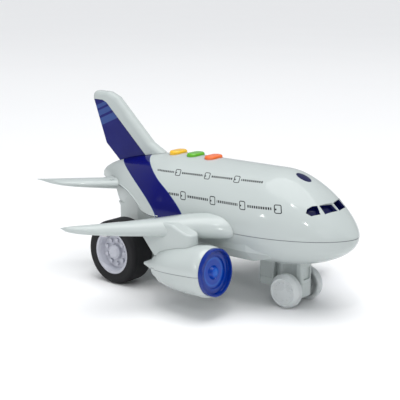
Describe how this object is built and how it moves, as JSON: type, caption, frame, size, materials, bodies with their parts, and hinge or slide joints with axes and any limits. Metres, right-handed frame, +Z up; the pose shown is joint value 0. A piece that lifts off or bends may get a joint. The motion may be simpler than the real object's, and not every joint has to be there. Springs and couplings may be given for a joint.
{
  "type": "toy airplane",
  "caption": "Chubby push-along toy airliner with swept wings, engine lamps behind blue lenses, sound buttons on the crown and a friction motor driving the rear wheels.",
  "frame": {"origin": "on the ground, under the middle of the bounding box", "axes": "+X to the nose, +Y to port, +Z up"},
  "size_m": [0.225, 0.208, 0.1184],
  "materials": {
    "white_plastic": "glossy moulded ABS",
    "tyre_rubber": "smooth black rubber",
    "hub_plastic": "satin silver grey",
    "wheel_plastic": "slightly milky white",
    "blue_lens": "translucent saturated blue",
    "glazing": "dark blue, glossy",
    "yellow_button": "glossy",
    "green_button": "glossy",
    "orange_button": "glossy",
    "steel": "zinc-plated",
    "gear_plastic": "natural nylon",
    "case_plastic": "dark grey",
    "silicone": "soft grey silicone",
    "board": "green solder mask",
    "component": "black resin",
    "lamp_clear": "water-clear epoxy",
    "cell": "plain wrapped cell",
    "contact": "nickel-plated"
  },
  "bodies": {
    "airframe": {"battery_cells": "cell", "battery_contacts": "contact", "battery_cover": "white_plastic", "battery_cover_screw": "steel", "board_components": "component", "board_screws": "steel", "button_pad": "silicone", "circuit_board": "board", "cockpit_glazing": "glazing", "crown_window": "glazing", "engine_lamp_left": "lamp_clear", "engine_lamp_right": "lamp_clear", "engine_lens_left": "blue_lens", "engine_lens_right": "blue_lens", "exhaust_cone_left": "white_plastic", "exhaust_cone_right": "white_plastic", "fuselage_lower_shell": "white_plastic", "fuselage_screws": "steel", "fuselage_upper_shell": "white_plastic", "idler_pin": "steel", "motor_case_left": "case_plastic", "motor_case_plate": "case_plastic", "motor_case_right": "case_plastic", "motor_case_screws": "steel", "nacelle_lower_left": "white_plastic", "nacelle_lower_right": "white_plastic", "nacelle_screws": "steel", "nacelle_upper_left": "white_plastic", "nacelle_upper_right": "white_plastic", "nose_gear_axle_carrier": "white_plastic", "nose_gear_bracket": "white_plastic", "nose_gear_screws": "steel", "speaker": "component", "tail_fin": "white_plastic", "tailplane_left": "white_plastic", "tailplane_right": "white_plastic", "wing_cover_left": "white_plastic", "wing_cover_right": "white_plastic", "wing_cover_screws": "steel", "wing_left": "white_plastic", "wing_right": "white_plastic"},
    "rear_wheels": {"rear_axle": "steel", "rear_hub_right": "hub_plastic", "rear_hub_left": "hub_plastic", "rear_tyre_right": "tyre_rubber", "rear_tyre_left": "tyre_rubber", "axle_gear": "gear_plastic"},
    "idler": {"idler_gear": "gear_plastic"},
    "flywheel_set": {"flywheel": "steel"},
    "front_wheels": {"front_axle": "steel", "front_wheel_right": "wheel_plastic", "front_wheel_left": "wheel_plastic"},
    "yellow_button": {"button_yellow": "yellow_button"},
    "green_button": {"button_green": "green_button"},
    "orange_button": {"button_orange": "orange_button"}
  },
  "joints": [
    {"name": "rear_axle_spin", "type": "hinge", "parent": "airframe", "child": "rear_wheels", "pos_m": [-0.0417, 0, 0.021], "axis": [0, 1, 0], "continuous": true},
    {"name": "idler_spin", "type": "hinge", "parent": "airframe", "child": "idler", "pos_m": [-0.03624, 0, 0.02751], "axis": [0, 1, 0], "continuous": true},
    {"name": "flywheel_spin", "type": "hinge", "parent": "airframe", "child": "flywheel_set", "pos_m": [-0.02787, 0, 0.02899], "axis": [0, 1, 0], "continuous": true},
    {"name": "front_axle_spin", "type": "hinge", "parent": "airframe", "child": "front_wheels", "pos_m": [0.072, 0, 0.0106], "axis": [0, 1, 0], "continuous": true},
    {"name": "yellow_button_press", "type": "slide", "parent": "airframe", "child": "yellow_button", "axis": [0, 0, -1], "range_m": [0, 0.0012], "stiffness_N_per_m": 400},
    {"name": "green_button_press", "type": "slide", "parent": "airframe", "child": "green_button", "axis": [0, 0, -1], "range_m": [0, 0.0012], "stiffness_N_per_m": 400},
    {"name": "orange_button_press", "type": "slide", "parent": "airframe", "child": "orange_button", "axis": [0, 0, -1], "range_m": [0, 0.0012], "stiffness_N_per_m": 400}
  ],
  "couplings": [
    {"joint": "idler_spin", "follows": "rear_axle_spin", "ratio": -1.8333},
    {"joint": "flywheel_spin", "follows": "rear_axle_spin", "ratio": 4.4}
  ]
}
